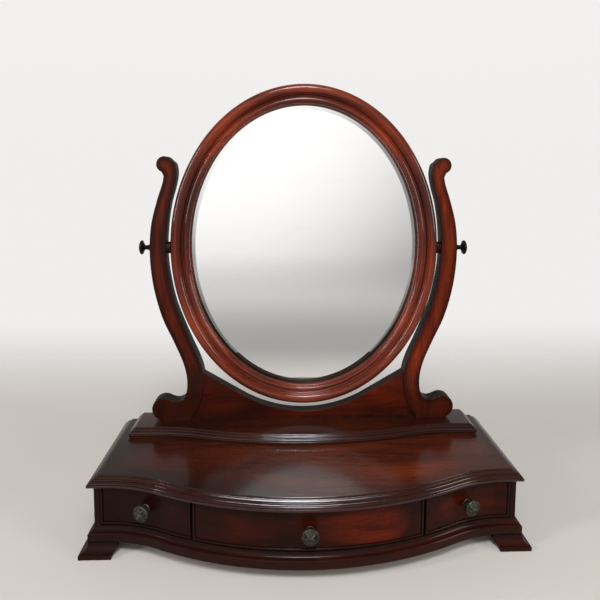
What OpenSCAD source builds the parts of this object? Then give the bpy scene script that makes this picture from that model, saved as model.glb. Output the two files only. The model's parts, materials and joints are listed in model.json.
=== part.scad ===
// Table-top dressing mirror: a serpentine case of three drawers that carries an oval bevelled
// mirror between two scrolled posts. Millimetres, +Z up, +X to the right, +Y towards the back.
// The origin is on the resting plane, under the middle of the bounding box. The modules are
// written in plan coordinates, where y = 0 is at the front corners of the top board, and
// place() moves each of them back to the origin.

/* [Case] */
// Half width of the top board at its moulded edge
half_w = 265; // [262:1:268]
// Depth of the top board from its front corners to its flat back
depth = 156; // [154:1:164]
// How far the middle of the front stands out from its corners
swell = 52; // [48:1:54]
// Radius of the arc in the middle of the front
mid_r = 440; // [420:5:460]
// Height of the feet
foot_h = 16; // [14:1:20]
// Height of the base moulding
base_h = 17.5; // [16.5:0.5:20]
// Height of the case between the base moulding and the top board
case_h = 51; // [50:1:58]
// Thickness of the top board
top_t = 11; // [11:0.5:13]
// Thickness of the step that carries the posts
step_t = 12; // [11.5:0.5:14]

/* [Drawers] */
// Distance from the middle to the joints between the drawer fronts
joint_x = 136.5; // [134:0.5:140]
// Thickness of the drawer fronts
front_t = 11; // [10:0.5:12]
// Diameter of the knobs
knob_d = 19.5; // [18:0.5:21]
// How far the knobs stand out
knob_l = 18; // [17:0.5:20]

/* [Mirror] */
// Half width of the mirror frame
frame_a = 187.5; // [185:0.5:188]
// Half height of the mirror frame
frame_b = 226; // [222:1:227]
// Width of the frame's moulding
frame_w = 26; // [25:0.5:28]
// Height of the pivot above the resting plane
pivot_z = 355.5; // [355:0.5:358]
// Width of the bevel on the glass
bevel_w = 13; // [10:0.5:15]

/* [Thumb screws] */
// Diameter of the screws' round heads
thumb_d = 20; // [18:0.5:22]
// Diameter of the pivot shank
shank_d = 6; // [5:0.5:6]

/* [Hidden] */
$fn = 64;
eps = 0.01;
far = 400;

// Colours
wood = [0.30, 0.09, 0.05];
dark_wood = [0.20, 0.06, 0.04];
drawer_wood = [0.72, 0.58, 0.42];
bronze = [0.16, 0.15, 0.14];
pewter = [0.36, 0.35, 0.30];
steel = [0.60, 0.60, 0.62];
silvered = [0.86, 0.88, 0.88];

// Heights
base_z = foot_h;
case_z = base_z + base_h;
top_z = case_z + case_h;
step_z = top_z + top_t;
post_z = step_z + step_t;

// The front's curve in plan: a middle arc, a hollow on each side of it, then straight ends
straight_l = 20;
mid_n = 24;
hollow_n = 10;

// Case: how far its outside stands in from the top board's edge, and its boards
case_in = 6.5;
side_t = 7;
back_t = 6;
back_in = 2;
partition_t = 9;
board_t = 6;
rail_w = 22;
rabbet_w = 6;
case_x = half_w - case_in;
inner_x = case_x - side_t;
back_y = depth - back_in - back_t;

// Top board edge, from the bottom up: a flat edge, a quirk, an ovolo and a fillet
top_edge_h = 3.8;
top_quirk_h = 0.8;
top_quirk_in = 1.5;
top_fillet_h = 1.5;
top_fillet_in = 11;
top_ovolo_in = 8.6;
ovolo_steps = 5;

// Step: the same moulding on a smaller board with a flatter curve
step_half = 243;
step_front = 98;
step_back = depth - 6;
step_swell = 26.5;
step_mid_r = 600;
step_straight = 33;
step_foot_h = 1.8;
step_foot_in = 1.5;
step_edge_h = 3;
step_fillet_h = 1.5;
step_fillet_in = 8.5;
step_ovolo_in = 6.8;
step_screw_y = 112;

// Base moulding: an upright face below a cove that runs up to the case
cove_r = case_in;
cove_steps = 5;

// Feet
foot_l = 37;
foot_flare = 9;
foot_band = 5.5;
foot_slant = 7;
foot_end_h = 5;

// Drawers
face_in = case_in + 1;
bead_in = case_in - 0.5;
bead_w = 3;
bead_t = 3.5;
joint_gap = 2.4;
side_gap = 0.3;
front_low = case_z + 1;
front_high = top_z - 0.8;
front_back_in = face_in + front_t;
box_gap = 0.5;
box_low = case_z + 0.3;
box_high = top_z - 8.5;
box_t = 6;
box_back = back_y - 4;
box_floor_t = 3;
box_floor_z = box_low + 3.5;
groove = 3;
drawer_z = (front_low + front_high) / 2;
mid_front_x = joint_x - joint_gap / 2;
side_front_x0 = joint_x + joint_gap / 2;
side_front_x1 = inner_x - side_gap;
mid_box_x = joint_x - partition_t / 2 - box_gap;
side_box_x0 = joint_x + partition_t / 2 + box_gap;
side_box_x1 = inner_x - box_gap;
knob_x = (side_front_x0 + side_front_x1) / 2;
hollow_r = hollow_radius(half_w - straight_l, swell, mid_r);
knob_turn = asin((half_w - straight_l - knob_x) / (hollow_r + face_in));
knob_y = (hollow_r + face_in) * cos(knob_turn) - hollow_r;
knob_flange_r = 6;
knob_lift = 0.16;
knob_bore_l = 11;
centre_head_lift = 0.08;

// Posts and stretcher
post_t = 20.5;
pivot_y = 134;
stretcher_t = 17;
stretcher_low = 119;
stretcher_r = 173;
stretcher_arc_x = 88;
scroll_top = [192.5, 471];
scroll_top_r = 11;
scroll_foot = [200, post_z + 16.5];
scroll_foot_r = 16.5;

// Mirror: y of each layer counts from the pivot, negative towards the front
frame_front = -12;
frame_shoulder = -9;
frame_lip = -5;
frame_back = 9;
crown_in = 7.5;
bead_ridge_in = 22;
glass_t = 4;
glass_edge_t = 1.6;
glass_in = 21;
backing_t = 3;
backing_in = 14;
fit_gap = 0.3;
ellipse_n = 96;
backing_screw_count = 10;

// Screws: shank radius, length and head radius
step_screw = [1.8, 19, 3.6];
post_screw = [2.2, 46, 4.4];
foot_screw = [1.8, 19, 3.6];
board_screw = [1.3, 10, 2.6];
back_screw = [1.3, 16, 2.6];
backing_screw = [1.2, 10, 2.6];
knob_screw = [2, 20, 4];
screw_clear = 0.05;
screw_end = 0.5;
foot_counterbore = 3;

// Pivot hardware
run_clear = 0.05;
spacer_r = 8.5;
seat_x = frame_a - 0.3;
post_inner_x = 192.6;
post_outer_x = 215;
insert_r = 5;
insert_l = 12;
thumb_head_t = 6.3;
thumb_x = post_outer_x + 16.5;
thumb_tip_x = seat_x - 10;

front_y = -(depth - swell + face_in - knob_l) / 2;

// ---------------------------------------------------------------- helpers

module place() {
    translate([0, front_y, 0]) children();
}

// Children as they are on the right, mirrored on the left
module on_side(side) {
    if (side < 0) mirror([1, 0, 0]) children();
    else children();
}

// An outline in x and z, extruded from y0 back to y1
module upright(y0, y1) {
    translate([0, y1, 0]) rotate([90, 0, 0]) linear_extrude(y1 - y0) children();
}

// A slab between two heights
module level(z0, z1) {
    translate([0, 0, z0]) linear_extrude(z1 - z0) children();
}

function hollow_radius(end, out, mid) = (end * end + out * out) / (2 * out) - mid;

function arc(centre, r, a0, a1, n) = [
    for (i = [0 : n]) let (a = a0 + (a1 - a0) * i / n) centre + r * [cos(a), sin(a)]
];

function ellipse(a, b, n) = [
    for (i = [0 : n - 1]) let (t = 360 * (i + 0.5) / n) [a * cos(t), b * sin(t)]
];

// A point on the Catmull-Rom curve through the list p, and the whole curve between its ends
function spline_at(p, i, t) = 0.5 * (
    2 * p[i] + (p[i + 1] - p[i - 1]) * t
    + (2 * p[i - 1] - 5 * p[i] + 4 * p[i + 1] - p[i + 2]) * t * t
    + (3 * p[i] - p[i - 1] - 3 * p[i + 1] + p[i + 2]) * t * t * t
);
function padded(p) = concat([2 * p[0] - p[1]], p, [2 * p[len(p) - 1] - p[len(p) - 2]]);
function through(q, n) = [
    for (i = [1 : len(q) - 3]) for (k = [0 : n - 1]) spline_at(q, i, k / n)
];
function spline(p, n) = concat(through(padded(p), n), [p[len(p) - 1]]);

// The front's curve from left to right, moved in by inset
function front_curve(inset, out, mid, end) =
    let (
        hollow = hollow_radius(end, out, mid),
        a = asin(end / (mid + hollow)),
        right = arc([end, -hollow], hollow + inset, 90 + a, 90, hollow_n)
    )
    concat(
        [for (i = [hollow_n : -1 : 1]) [-right[i].x, right[i].y]],
        arc([0, mid - out], mid - inset, 270 - a, 270 + a, mid_n),
        [for (i = [1 : hollow_n]) right[i]]
    );

// Where that curve is at the distance x from the middle, in its hollow or its straight end
function end_y(x, inset, out, mid, end) =
    let (hollow = hollow_radius(end, out, mid), from_end = max(0, end - x))
    sqrt(pow(hollow + inset, 2) - from_end * from_end) - hollow;

// The plan of a serpentine board, with its front and side edges moved in by inset
module serpentine(inset, half, back, out, mid, end) {
    edge = half - inset;
    y = end_y(edge, inset, out, mid, end);
    curve = [for (p = front_curve(inset, out, mid, end)) if (abs(p.x) < edge - eps) p];
    polygon(concat([[-edge, back], [-edge, y]], curve, [[edge, y], [edge, back]]));
}

module case_plan(inset) {
    serpentine(inset, half_w, depth, swell, mid_r, half_w - straight_l);
}

// Everything behind the front's curve, as wide as the top board
module behind_front(inset) {
    serpentine(inset, half_w + inset, depth, swell, mid_r, half_w - straight_l);
}

module step_plan(inset) {
    back = step_back - step_front;
    translate([0, step_front])
        serpentine(inset, step_half, back, step_swell, step_mid_r, step_half - step_straight);
}

// A strip of the case's plan between two depths behind the front and two distances from the middle
module front_strip(x0, x1, in0, in1) {
    intersection() {
        difference() {
            behind_front(in0);
            behind_front(in1);
        }
        translate([x0, -swell]) square([x1 - x0, swell + in1]);
    }
}

// A screw with a countersunk head: its flat top is at the origin and it runs along +Z
module flat_head_screw(s) {
    cylinder(h = s[2] - s[0], r1 = s[2], r2 = s[0]);
    cylinder(h = s[1], r = s[0]);
}

module flat_head_hole(s) {
    translate([0, 0, -eps])
        flat_head_screw([s[0] + screw_clear, s[1] + screw_end, s[2] + screw_clear]);
}

// A screw with a round head, which stands out along -Z
module round_head_screw(s) {
    cylinder(h = s[1], r = s[0]);
    intersection() {
        translate([0, 0, -s[2] * 0.6]) cylinder(h = s[2] * 0.6, r = s[2]);
        translate([0, 0, s[2] * 0.4]) sphere(s[2] * 1.08);
    }
}

module straight_hole(s) {
    translate([0, 0, -eps]) cylinder(h = s[1] + screw_end, r = s[0] + screw_clear);
}

// ---------------------------------------------------------------- top board and step

// Ovolo: how far in the edge is at the share t of its height
function ovolo(t, in0, in1) = in0 + (in1 - in0) * (1 - sqrt(1 - t * t));

module top_board() {
    ovolo_z = top_z + top_edge_h + top_quirk_h;
    ovolo_h = top_t - top_edge_h - top_quirk_h - top_fillet_h;
    color(wood) place() difference() {
        union() {
            level(top_z, top_z + top_edge_h) case_plan(0);
            level(top_z + top_edge_h, ovolo_z) case_plan(top_quirk_in);
            for (i = [1 : ovolo_steps]) {
                z0 = ovolo_z + ovolo_h * (i - 1) / ovolo_steps;
                inset = ovolo((i - 0.5) / ovolo_steps, top_quirk_in, top_ovolo_in);
                level(z0, z0 + ovolo_h / ovolo_steps) case_plan(inset);
            }
            level(step_z - top_fillet_h, step_z) case_plan(top_fillet_in);
        }
        step_screw_spots() flat_head_hole(step_screw);
        post_screw_spots() flat_head_hole(post_screw);
    }
}

module mirror_step() {
    edge_z = step_z + step_foot_h;
    ovolo_z = edge_z + step_edge_h;
    ovolo_h = step_t - step_foot_h - step_edge_h - step_fillet_h;
    color(wood) place() difference() {
        union() {
            level(step_z, edge_z) step_plan(step_foot_in);
            level(edge_z, ovolo_z) step_plan(0);
            for (i = [1 : ovolo_steps]) {
                z0 = ovolo_z + ovolo_h * (i - 1) / ovolo_steps;
                inset = ovolo((i - 0.5) / ovolo_steps, 1, step_ovolo_in);
                level(z0, z0 + ovolo_h / ovolo_steps) step_plan(inset);
            }
            level(post_z - step_fillet_h, post_z) step_plan(step_fillet_in);
        }
        step_screw_spots() flat_head_hole(step_screw);
        post_screw_spots() flat_head_hole(post_screw);
    }
}

// Screws that hold the step down, from below the top board
module step_screw_spots() {
    for (x = [-165, -55, 55, 165]) translate([x, step_screw_y, top_z]) children();
}

// Long screws up through both boards into the posts and the stretcher
module post_screw_spots() {
    for (x = [-200, -175, -110, 110, 175, 200]) translate([x, pivot_y, top_z]) children();
}

module step_screws() {
    color(steel) place() step_screw_spots() flat_head_screw(step_screw);
}

module post_screws() {
    color(steel) place() post_screw_spots() flat_head_screw(post_screw);
}

// ---------------------------------------------------------------- case

module side_panel(side) {
    color(wood) place() on_side(side) level(case_z, top_z)
        translate([inner_x, case_in]) square([side_t, depth - back_in - case_in]);
}

module left_side_panel() { side_panel(-1); }
module right_side_panel() { side_panel(1); }

module back_panel() {
    color(dark_wood) place() difference() {
        level(case_z, top_z) translate([-inner_x, back_y]) square([2 * inner_x, back_t]);
        back_screw_spots() straight_hole(back_screw);
    }
}

// Two screws into the back edge of each partition
module back_screw_spots() {
    for (x = [-joint_x, joint_x]) for (z = [case_z + 11, top_z - 11])
        translate([x, depth - back_in, z]) rotate([90, 0, 0]) children();
}

module back_panel_screws() {
    color(steel) place() back_screw_spots() round_head_screw(back_screw);
}

module partition(side) {
    clear_in = front_back_in + box_gap;
    color(dark_wood) place() on_side(side) difference() {
        level(case_z, top_z) intersection() {
            behind_front(clear_in);
            translate([joint_x - partition_t / 2, -swell]) square([partition_t, swell + back_y]);
        }
        back_screw_spots() straight_hole(back_screw);
    }
}

module left_partition() { partition(-1); }
module right_partition() { partition(1); }

// The board's plan: it lies in a rabbet all round the base frame
module board_plan() {
    inset = rail_w - rabbet_w;
    intersection() {
        case_plan(inset);
        translate([-far, -far]) square([2 * far, far + depth - rail_w / 2]);
    }
}

module bottom_board() {
    color(dark_wood) place() difference() {
        level(case_z - board_t, case_z) board_plan();
        board_screw_spots() flat_head_hole(board_screw);
    }
}

// ---------------------------------------------------------------- base

// The full base moulding, front and sides, before it is cut at the mitres
module base_ring() {
    difference() {
        union() {
            level(base_z, case_z - cove_r) case_plan(0);
            for (i = [1 : cove_steps]) {
                z0 = case_z - cove_r + cove_r * (i - 1) / cove_steps;
                t = (i - 0.5) / cove_steps;
                inset = cove_r * sqrt(1 - (1 - t) * (1 - t));
                level(z0, z0 + cove_r / cove_steps) case_plan(inset);
            }
        }
        level(base_z - 1, case_z + 1) case_plan(rail_w);
        level(case_z - board_t, case_z + 1) board_plan();
        foot_screw_spots() flat_head_hole(foot_screw);
        board_screw_spots() flat_head_hole(board_screw);
    }
}

// What lies in front of the two mitres
module mitre_plan() {
    polygon([[-half_w - 1, -1], [-half_w - 1, -far], [half_w + 1, -far], [half_w + 1, -1],
             [half_w - rail_w - 1, rail_w + 1], [-half_w + rail_w + 1, rail_w + 1]]);
}

module front_base_moulding() {
    color(wood) place() intersection() {
        base_ring();
        level(0, top_z) mitre_plan();
    }
}

module side_base_moulding(side) {
    color(wood) place() on_side(side) intersection() {
        base_ring();
        level(0, top_z) difference() {
            translate([half_w - rail_w - eps, -1]) square([rail_w + 1, depth + 2]);
            mitre_plan();
        }
    }
}

module left_base_moulding() { side_base_moulding(-1); }
module right_base_moulding() { side_base_moulding(1); }

module rear_base_rail() {
    color(dark_wood) place() difference() {
        level(base_z, case_z)
            translate([-half_w + rail_w, depth - rail_w]) square([2 * (half_w - rail_w), rail_w - back_in]);
        level(case_z - board_t, case_z + 1) board_plan();
        board_screw_spots() flat_head_hole(board_screw);
        foot_screw_spots() flat_head_hole(foot_screw);
    }
}

// Screws down through the bottom board's edge into the rabbet
module board_screw_spots() {
    x_end = half_w - rail_w + rabbet_w / 2;
    for (x = [-150, 0, 150]) translate([x, depth - rail_w + 4, case_z]) mirror([0, 0, 1]) children();
    for (x = [-x_end, x_end]) for (y = [60, 110]) translate([x, y, case_z]) mirror([0, 0, 1]) children();
}

module bottom_board_screws() {
    color(steel) place() board_screw_spots() flat_head_screw(board_screw);
}

// ---------------------------------------------------------------- feet

// Two screws up through each foot: one into the front or the rear, the other into the side
module foot_screw_spots() {
    for (side = [-1, 1]) {
        for (p = [[24, 11], [11, 24], [25, depth - 14], [11, depth - 14]])
            translate([side * (half_w - p[0]), p[1], foot_counterbore]) children();
    }
}

module foot_screws() {
    color(steel) place() foot_screw_spots() flat_head_screw(foot_screw);
}

// The foot's outline seen square on: u = 0 at the moulding's face and positive inwards
function foot_outline(flare) = concat(
    [[foot_l, foot_h], [foot_l, foot_h - foot_end_h], [foot_l - foot_slant, 0]],
    [[-flare, 0], [-flare, foot_band]],
    [for (i = [1 : 6]) let (a = 90 * i / 6)
        [-flare * (1 - sin(a)), foot_band + (foot_h - foot_band) * (1 - cos(a))]]
);

// The corner block where the side's outline meets the front's
module foot_body(front_flare) {
    intersection() {
        translate([half_w, 0, 0]) mirror([1, 0, 0]) upright(-foot_l, foot_l)
            polygon(foot_outline(foot_flare));
        rotate([0, 0, 90]) mirror([0, 1, 0]) upright(0, far) polygon(foot_outline(front_flare));
    }
}

module foot(side, rear) {
    color(wood) place() difference() {
        on_side(side) {
            if (rear) translate([0, depth, 0]) mirror([0, 1, 0]) foot_body(0);
            else foot_body(foot_flare);
        }
        foot_screw_spots() mirror([0, 0, 1])
            cylinder(h = 2 * foot_counterbore, r = foot_screw[2] + screw_clear);
        foot_screw_spots() flat_head_hole(foot_screw);
    }
}

module front_left_foot() { foot(-1, false); }
module front_right_foot() { foot(1, false); }
module rear_left_foot() { foot(-1, true); }
module rear_right_foot() { foot(1, true); }

// ---------------------------------------------------------------- posts and stretcher

// The right post seen from the front, x against z
post_outer = [[194.4, 139.5], [187, 136.3], [180, 135.4], [172.5, 138.8], [168, 147], [166.3, 159],
    [167.3, 175], [172.5, 195], [184, 222.5], [200, 259], [211, 303], [215, 348],
    [212.3, 387], [204, 420], [196, 444], [193.8, 455]];
post_inner = [[183, 476.7], [178.2, 472.3], [176.3, 463], [176.8, 453], [180, 438.5], [186, 417],
    [190.6, 388], [192.6, 356], [190.8, 325], [183.2, 284], [172.6, 253], [160, 222], [150.4, 200],
    [145, 184], [142.9, 172], [142.7, 163], [144.2, 150], [149.5, 130], [163, post_z]];

module post_profile() {
    polygon(concat(
        spline(post_outer, 5),
        arc(scroll_top, scroll_top_r, -68, 145, 24),
        spline(post_inner, 5),
        arc(scroll_foot, scroll_foot_r, -90, 104, 24)
    ));
}

module post(side) {
    color(wood) place() on_side(side) difference() {
        upright(pivot_y - post_t / 2, pivot_y + post_t / 2) post_profile();
        pivot_axis() cylinder(h = far, r = shank_d / 2 + run_clear);
        post_screw_spots() flat_head_hole(post_screw);
    }
}

module left_post() { post(-1); }
module right_post() { post(1); }

// Along +X, from the middle of the mirror
module pivot_axis() {
    translate([0, pivot_y, pivot_z]) rotate([0, 90, 0]) children();
}

module stretcher_blank() {
    rise = asin(stretcher_arc_x / stretcher_r);
    arc_top = stretcher_low + stretcher_r * (1 - cos(rise));
    end_x = 150;
    end_z = arc_top + (end_x - stretcher_arc_x) * tan(rise);
    polygon(concat(
        arc([0, stretcher_low + stretcher_r], stretcher_r, -90 - rise, -90 + rise, 32),
        [[end_x, end_z], [154, 150], [170, post_z], [-170, post_z], [-154, 150], [-end_x, end_z]]
    ));
}

module stretcher() {
    color(wood) place() difference() {
        upright(pivot_y - stretcher_t / 2, pivot_y + stretcher_t / 2) difference() {
            stretcher_blank();
            post_profile();
            mirror([1, 0]) post_profile();
        }
        post_screw_spots() flat_head_hole(post_screw);
    }
}

// ---------------------------------------------------------------- mirror

module oval(inset) {
    polygon(ellipse(frame_a - inset, frame_b - inset, ellipse_n));
}

module at_pivot() {
    translate([0, pivot_y, pivot_z]) children();
}

module frame_layer(y0, y1, out, in) {
    upright(y0, y1) difference() {
        oval(out);
        oval(in);
    }
}

module mirror_frame() {
    color(wood) place() difference() {
        at_pivot() {
            frame_layer(frame_front, frame_front + 1, crown_in - 3, crown_in + 3);
            frame_layer(frame_front + 1, frame_shoulder, crown_in - 5, crown_in + 5);
            frame_layer(frame_shoulder, frame_lip, 1, bead_ridge_in);
            frame_layer(frame_lip, 0, 0, frame_w);
            frame_layer(0, glass_t, 0, glass_in);
            frame_layer(glass_t, frame_back, 0, backing_in);
        }
        for (side = [-1, 1]) on_side(side) pivot_axis() {
            translate([0, 0, seat_x]) cylinder(h = 5, r = spacer_r + fit_gap);
            translate([0, 0, seat_x - insert_l]) cylinder(h = far, r = insert_r);
        }
        backing_screw_spots() straight_hole(backing_screw);
    }
}

module mirror_glass() {
    color(silvered) place() at_pivot() hull() {
        upright(glass_t - glass_edge_t, glass_t) oval(glass_in + fit_gap);
        upright(0, glass_t) oval(glass_in + bevel_w);
    }
}

module mirror_backing() {
    color(dark_wood) place() difference() {
        at_pivot() upright(glass_t, glass_t + backing_t) oval(backing_in + fit_gap);
        backing_screw_spots() straight_hole(backing_screw);
    }
}

// Screws in from the back through the edge of the backing
module backing_screw_spots() {
    inset = (glass_in + backing_in) / 2;
    for (i = [0 : backing_screw_count - 1]) {
        a = 360 * (i + 0.5) / backing_screw_count;
        at_pivot() translate([(frame_a - inset) * cos(a), glass_t + backing_t, (frame_b - inset) * sin(a)])
            rotate([90, 0, 0]) children();
    }
}

module backing_screws() {
    color(steel) place() backing_screw_spots() round_head_screw(backing_screw);
}

module pivot_insert(side) {
    color(steel) place() on_side(side) pivot_axis() translate([0, 0, seat_x - insert_l]) difference() {
        cylinder(h = insert_l, r = insert_r);
        translate([0, 0, -1]) cylinder(h = insert_l + 2, r = shank_d / 2 + run_clear);
    }
}

module left_pivot_insert() { pivot_insert(-1); }
module right_pivot_insert() { pivot_insert(1); }

module spacer(side) {
    length = post_inner_x - fit_gap - seat_x;
    color(dark_wood) place() on_side(side) pivot_axis() translate([0, 0, seat_x]) difference() {
        cylinder(h = length, r = spacer_r);
        translate([0, 0, -1]) cylinder(h = length + 2, r = shank_d / 2 + run_clear);
    }
}

module left_spacer() { spacer(-1); }
module right_spacer() { spacer(1); }

// Turned screw: a plain pivot shank, a flared collar, a waist and a round head
module thumb_screw(side) {
    collar_x = post_outer_x + fit_gap;
    head_x = thumb_x - thumb_head_t;
    shank_r = shank_d / 2;
    head_r = thumb_d / 2;
    profile = concat(
        [[0, thumb_tip_x], [shank_r, thumb_tip_x], [shank_r, collar_x], [5, collar_x], [5, collar_x + 1.2]],
        [[3.4, collar_x + 4], [3.2, head_x - 1.5], [4.5, head_x], [head_r - 1.6, head_x + 1.2]],
        arc([head_r - 1.5, head_x + 2.8], 1.5, -60, 70, 6),
        [[head_r * 0.55, thumb_x - 0.5], [0, thumb_x]]
    );
    color(bronze) place() on_side(side) pivot_axis() rotate_extrude() polygon(profile);
}

module left_thumb_screw() { thumb_screw(-1); }
module right_thumb_screw() { thumb_screw(1); }

// ---------------------------------------------------------------- drawers

// Which = -1, 0 or 1 is the left, the centre or the right drawer
function front_x0(which) = which == 0 ? -mid_front_x : side_front_x0;
function front_x1(which) = which == 0 ? mid_front_x : side_front_x1;
function box_x0(which) = which == 0 ? -mid_box_x : side_box_x0;
function box_x1(which) = which == 0 ? mid_box_x : side_box_x1;

// The knob's seat on the front, with +Z running out along the knob
module knob_seat(which) {
    if (which == 0) translate([0, face_in - swell, drawer_z]) rotate([90, 0, 0]) children();
    else translate([knob_x, knob_y, drawer_z]) rotate([0, 0, knob_turn]) rotate([90, 0, 0]) children();
}

// The bead: a thin frame let into the edge of the front and standing proud of it
module bead_ring(which) {
    x0 = front_x0(which);
    x1 = front_x1(which);
    difference() {
        level(front_low, front_high) front_strip(x0, x1, bead_in, bead_in + bead_t);
        level(front_low + bead_w, front_high - bead_w)
            translate([x0 + bead_w, -far]) square([x1 - x0 - 2 * bead_w, 2 * far]);
    }
}

module drawer_floor_plan(which) {
    x0 = box_x0(which) + box_t - groove;
    x1 = box_x1(which) - box_t + groove;
    intersection() {
        behind_front(front_back_in - groove);
        translate([x0, -swell]) square([x1 - x0, swell + box_back]);
    }
}

module drawer_front(which) {
    color(wood) place() on_side(which) difference() {
        level(front_low, front_high)
            front_strip(front_x0(which), front_x1(which), face_in, front_back_in);
        bead_ring(which);
        level(box_floor_z, box_floor_z + box_floor_t) drawer_floor_plan(which);
        knob_seat(which) translate([0, 0, -far / 2])
            cylinder(h = far, r = knob_screw[0] + 2 * screw_clear);
    }
}

module drawer_bead(which) {
    color(dark_wood) place() on_side(which) bead_ring(which);
}

module drawer_side(which, x0) {
    color(drawer_wood) place() on_side(which) difference() {
        level(box_low, box_high) intersection() {
            behind_front(front_back_in);
            translate([x0, -swell]) square([box_t, swell + box_back]);
        }
        level(box_floor_z, box_floor_z + box_floor_t) drawer_floor_plan(which);
    }
}

module drawer_back(which) {
    x0 = box_x0(which) + box_t;
    x1 = box_x1(which) - box_t;
    color(drawer_wood) place() on_side(which) level(box_floor_z + box_floor_t, box_high - 2)
        translate([x0, box_back - box_t]) square([x1 - x0, box_t]);
}

module drawer_bottom(which) {
    color(drawer_wood) place() on_side(which)
        level(box_floor_z, box_floor_z + box_floor_t) drawer_floor_plan(which);
}

module drawer_knob(which) {
    head_r = knob_d / 2;
    profile = concat(
        [[0, 0], [knob_flange_r, 0], [knob_flange_r, 1], [knob_flange_r - 1, 1.6], [3.4, 3], [3.2, 7.5]],
        arc([head_r - 1.8, knob_l - 6.5], 1.8, -75, 60, 6),
        [[head_r * 0.62, knob_l - 2.2], [head_r * 0.3, knob_l - 0.4], [0, knob_l]]
    );
    color(pewter) place() on_side(which) knob_seat(which) translate([0, 0, which == 0 ? 0 : knob_lift])
        difference() {
            rotate_extrude() polygon(profile);
            translate([0, 0, -1]) cylinder(h = knob_bore_l + 1, r = knob_screw[0] + screw_clear);
        }
}

module drawer_knob_screw(which) {
    head_lift = which == 0 ? centre_head_lift : 0;
    color(steel) place() on_side(which) knob_seat(which) translate([0, 0, -front_t - head_lift])
        round_head_screw(knob_screw);
}

module left_drawer_front() { drawer_front(-1); }
module left_drawer_bead() { drawer_bead(-1); }
module left_drawer_outer_side() { drawer_side(-1, side_box_x1 - box_t); }
module left_drawer_inner_side() { drawer_side(-1, side_box_x0); }
module left_drawer_back() { drawer_back(-1); }
module left_drawer_bottom() { drawer_bottom(-1); }
module left_drawer_knob() { drawer_knob(-1); }
module left_knob_screw() { drawer_knob_screw(-1); }

module centre_drawer_front() { drawer_front(0); }
module centre_drawer_bead() { drawer_bead(0); }
module centre_drawer_left_side() { drawer_side(0, -mid_box_x); }
module centre_drawer_right_side() { drawer_side(0, mid_box_x - box_t); }
module centre_drawer_back() { drawer_back(0); }
module centre_drawer_bottom() { drawer_bottom(0); }
module centre_drawer_knob() { drawer_knob(0); }
module centre_knob_screw() { drawer_knob_screw(0); }

module right_drawer_front() { drawer_front(1); }
module right_drawer_bead() { drawer_bead(1); }
module right_drawer_outer_side() { drawer_side(1, side_box_x1 - box_t); }
module right_drawer_inner_side() { drawer_side(1, side_box_x0); }
module right_drawer_back() { drawer_back(1); }
module right_drawer_bottom() { drawer_bottom(1); }
module right_drawer_knob() { drawer_knob(1); }
module right_knob_screw() { drawer_knob_screw(1); }

// ---------------------------------------------------------------- nodes

top_board();
mirror_step();
left_side_panel();
right_side_panel();
back_panel();
bottom_board();
left_partition();
right_partition();
front_base_moulding();
left_base_moulding();
right_base_moulding();
rear_base_rail();
front_left_foot();
front_right_foot();
rear_left_foot();
rear_right_foot();
left_post();
right_post();
stretcher();
post_screws();
step_screws();
foot_screws();
back_panel_screws();
bottom_board_screws();
mirror_frame();
mirror_glass();
mirror_backing();
backing_screws();
left_pivot_insert();
right_pivot_insert();
left_spacer();
right_spacer();
left_thumb_screw();
right_thumb_screw();
left_drawer_front();
left_drawer_bead();
left_drawer_outer_side();
left_drawer_inner_side();
left_drawer_back();
left_drawer_bottom();
left_drawer_knob();
left_knob_screw();
centre_drawer_front();
centre_drawer_bead();
centre_drawer_left_side();
centre_drawer_right_side();
centre_drawer_back();
centre_drawer_bottom();
centre_drawer_knob();
centre_knob_screw();
right_drawer_front();
right_drawer_bead();
right_drawer_outer_side();
right_drawer_inner_side();
right_drawer_back();
right_drawer_bottom();
right_drawer_knob();
right_knob_screw();
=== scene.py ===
"""Looks for the table-top dressing mirror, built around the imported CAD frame.

Shapes are made in millimetres in the part's plan coordinates, where y = 0 is at the front corners
of the top board, and to_row() turns them into metres in the row frame.
"""

import json
from math import asin, atan2, cos, degrees, dist, hypot, pi, radians, sin, sqrt, tan

import bmesh
import bpy
from mathutils import Matrix, Vector


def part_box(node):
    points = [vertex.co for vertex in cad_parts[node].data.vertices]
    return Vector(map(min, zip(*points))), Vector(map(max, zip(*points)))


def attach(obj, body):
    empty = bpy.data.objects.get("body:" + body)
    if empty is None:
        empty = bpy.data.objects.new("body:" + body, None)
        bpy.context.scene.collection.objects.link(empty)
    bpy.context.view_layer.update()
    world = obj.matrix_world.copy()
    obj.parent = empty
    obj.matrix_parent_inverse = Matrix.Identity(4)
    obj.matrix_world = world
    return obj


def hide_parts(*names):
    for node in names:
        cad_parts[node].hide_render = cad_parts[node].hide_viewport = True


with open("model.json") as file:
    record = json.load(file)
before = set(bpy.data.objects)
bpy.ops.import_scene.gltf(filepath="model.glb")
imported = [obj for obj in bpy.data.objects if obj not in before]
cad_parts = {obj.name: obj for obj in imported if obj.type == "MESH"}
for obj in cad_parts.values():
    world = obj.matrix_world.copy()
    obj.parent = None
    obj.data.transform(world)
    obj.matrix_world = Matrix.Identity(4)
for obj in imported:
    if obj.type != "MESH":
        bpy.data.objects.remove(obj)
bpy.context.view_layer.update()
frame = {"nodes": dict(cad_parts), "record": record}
MM = 0.001


# -------- the frame's measures

def low(node, axis):
    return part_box(node)[0][axis] / MM


def high(node, axis):
    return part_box(node)[1][axis] / MM


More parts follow.
